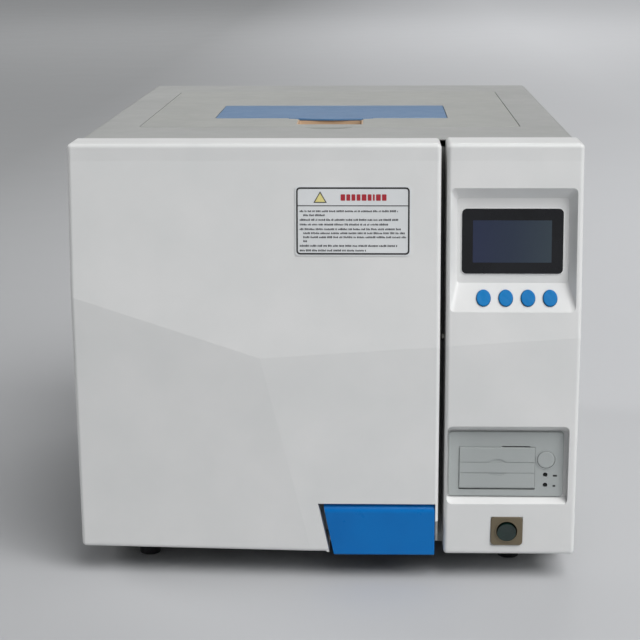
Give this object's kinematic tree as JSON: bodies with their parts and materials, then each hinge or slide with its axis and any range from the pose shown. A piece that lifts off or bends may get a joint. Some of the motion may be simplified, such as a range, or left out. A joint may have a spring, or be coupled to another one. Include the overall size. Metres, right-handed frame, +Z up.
{
  "type": "benchtop autoclave",
  "caption": "Box-shaped bench steam steriliser with a faceted side-hinged door, pull handle, control fascia with display and printer, and a top water tank.",
  "frame": {"origin": "middle of the footprint, on the bench", "axes": "+Z up, the door and fascia face -Y, +X is the fascia side as seen from the front"},
  "size_m": [0.485, 0.62, 0.432],
  "materials": {
    "moulded_white": "fine-grain moulded, satin",
    "liner_grey": "moulded, matt",
    "zinc_steel": "zinc plated, satin",
    "label_film": "printed film",
    "black_plastic": "moulded, matt",
    "stainless": "brushed",
    "silicone": "silicone, matt",
    "handle_blue": "moulded, glossy",
    "black_rubber": "moulded rubber",
    "cabinet_paint": "fine powder coat",
    "frame_paint": "fine powder coat",
    "lens_black": "polished lens",
    "board_green": "solder resist",
    "printer_grey": "satin silver-grey",
    "paper": "thermal paper",
    "switch_tan": "satin",
    "rocker_green": "translucent, glossy",
    "heater_red": "silicone heater mat",
    "insulation": "felt",
    "tray_aluminium": "satin",
    "tank_plastic": "natural, matt",
    "cover_grey": "fine grain, satin",
    "scoop_tan": "satin",
    "flap_blue": "moulded, glossy",
    "button_blue": "moulded, glossy",
    "motor_paint": "painted casting",
    "perforated_case": "perforated sheet",
    "brass": "machined",
    "filter_white": "moulded, satin"
  },
  "bodies": {
    "cabinet": {"base_pan": "zinc_steel", "rubber_feet": "black_rubber", "cabinet_cover": "cabinet_paint", "rear_panel": "cabinet_paint", "front_frame": "frame_paint", "hinge_brackets": "zinc_steel", "latch_keepers": "zinc_steel", "case_screws": "zinc_steel", "control_fascia": "moulded_white", "display_lens": "lens_black", "control_board": "board_green", "printer_body": "printer_grey", "power_switch_plate": "switch_tan", "lock_solenoid": "black_plastic", "chamber_vessel": "stainless", "chamber_flange": "stainless", "heater_bands": "heater_red", "insulation_jacket": "insulation", "tray_rack": "stainless", "instrument_trays": "tray_aluminium", "water_tank": "tank_plastic", "steam_generator": "stainless", "vacuum_pump": "motor_paint", "condenser": "tray_aluminium", "fan_housing": "black_plastic", "valve_manifold": "brass", "main_board": "board_green", "power_supply": "perforated_case", "steam_pipes": "silicone", "safety_valve": "brass", "air_filter": "filter_white", "hose_barbs": "brass", "mains_inlet": "black_plastic"},
    "door": {"door_cover": "moulded_white", "door_liner": "liner_grey", "door_arm": "zinc_steel", "label_plate": "label_film", "handle_bracket": "zinc_steel", "latch_guides": "black_plastic"},
    "closure": {"pressure_plate": "stainless", "door_gasket": "silicone", "plate_bolt": "zinc_steel"},
    "handle": {"door_handle": "handle_blue"},
    "latch": {"latch_bar": "zinc_steel"},
    "bolt": {"lock_bolt": "zinc_steel"},
    "tank_lid": {"tank_cover": "cover_grey", "scoop_liner": "scoop_tan"},
    "flap": {"filler_flap": "flap_blue"},
    "rocker": {"power_rocker": "rocker_green"},
    "paper_door": {"printer_door": "printer_grey"},
    "platen": {"platen_roller": "black_rubber"},
    "feed": {"feed_button": "printer_grey"},
    "roll": {"paper_roll": "paper"},
    "fan": {"fan_rotor": "black_plastic"},
    "relief_ring": {"valve_ring": "zinc_steel"},
    "button_1": {"menu_button_1": "button_blue"},
    "button_2": {"menu_button_2": "button_blue"},
    "button_3": {"menu_button_3": "button_blue"},
    "button_4": {"menu_button_4": "button_blue"}
  },
  "joints": [
    {"name": "door_swing", "type": "hinge", "parent": "cabinet", "child": "door", "pos_m": [-0.234, -0.258, 0.2], "axis": [0, 0, -1], "range_deg": [0, 90]},
    {"name": "handle_pull", "type": "hinge", "parent": "door", "child": "handle", "pos_m": [0.05, -0.2945, 0.0702], "axis": [-1, 0, 0], "range_deg": [0, 35], "stiffness_Nm_per_rad": 0.3, "springref_deg": -20.05},
    {"name": "latch_drop", "type": "slide", "parent": "door", "child": "latch", "axis": [0, 0, -1], "range_m": [0, 0.0112]},
    {"name": "plate_turn", "type": "hinge", "parent": "door", "child": "closure", "pos_m": [-0.066, -0.27, 0.196], "axis": [0, 1, 0], "continuous": true},
    {"name": "lock_shot", "type": "slide", "parent": "cabinet", "child": "bolt", "axis": [-1, 0, 0], "range_m": [0, 0.012], "stiffness_N_per_m": 100},
    {"name": "tank_lid_lift", "type": "slide", "parent": "cabinet", "child": "tank_lid", "axis": [0, 0, 1], "range_m": [0, 0.12]},
    {"name": "flap_lift", "type": "hinge", "parent": "tank_lid", "child": "flap", "pos_m": [0, 0.036, 0.4287], "axis": [-1, 0, 0], "range_deg": [0, 95]},
    {"name": "menu_press_1", "type": "slide", "parent": "cabinet", "child": "button_1", "axis": [0, 0.8932, -0.4496], "range_m": [0, 0.0012], "stiffness_N_per_m": 300},
    {"name": "menu_press_2", "type": "slide", "parent": "cabinet", "child": "button_2", "axis": [0, 0.8932, -0.4496], "range_m": [0, 0.0012], "stiffness_N_per_m": 300},
    {"name": "menu_press_3", "type": "slide", "parent": "cabinet", "child": "button_3", "axis": [0, 0.8932, -0.4496], "range_m": [0, 0.0012], "stiffness_N_per_m": 300},
    {"name": "menu_press_4", "type": "slide", "parent": "cabinet", "child": "button_4", "axis": [0, 0.8932, -0.4496], "range_m": [0, 0.0012], "stiffness_N_per_m": 300},
    {"name": "rocker_tilt", "type": "hinge", "parent": "cabinet", "child": "rocker", "pos_m": [0.1763, -0.2954, 0.0529], "axis": [-1, 0, 0], "range_deg": [0, 14]},
    {"name": "paper_door_drop", "type": "hinge", "parent": "cabinet", "child": "paper_door", "pos_m": [0.1662, -0.2956, 0.097], "axis": [1, 0, 0], "range_deg": [0, 80]},
    {"name": "platen_spin", "type": "hinge", "parent": "paper_door", "child": "platen", "pos_m": [0.1662, -0.288, 0.1295], "axis": [1, 0, 0], "continuous": true},
    {"name": "feed_press", "type": "slide", "parent": "cabinet", "child": "feed", "axis": [0, 1, 0], "range_m": [0, 0.001], "stiffness_N_per_m": 300},
    {"name": "roll_spin", "type": "hinge", "parent": "cabinet", "child": "roll", "pos_m": [0.166, -0.2684, 0.114], "axis": [1, 0, 0], "continuous": true},
    {"name": "fan_spin", "type": "hinge", "parent": "cabinet", "child": "fan", "pos_m": [-0.15, 0.27, 0.15], "axis": [0, 1, 0], "continuous": true},
    {"name": "relief_pull", "type": "slide", "parent": "cabinet", "child": "relief_ring", "axis": [0, 1, 0], "range_m": [0, 0.003], "stiffness_N_per_m": 400}
  ],
  "couplings": [
    {"joint": "latch_drop", "follows": "handle_pull", "m_per_rad": 0.018}
  ]
}
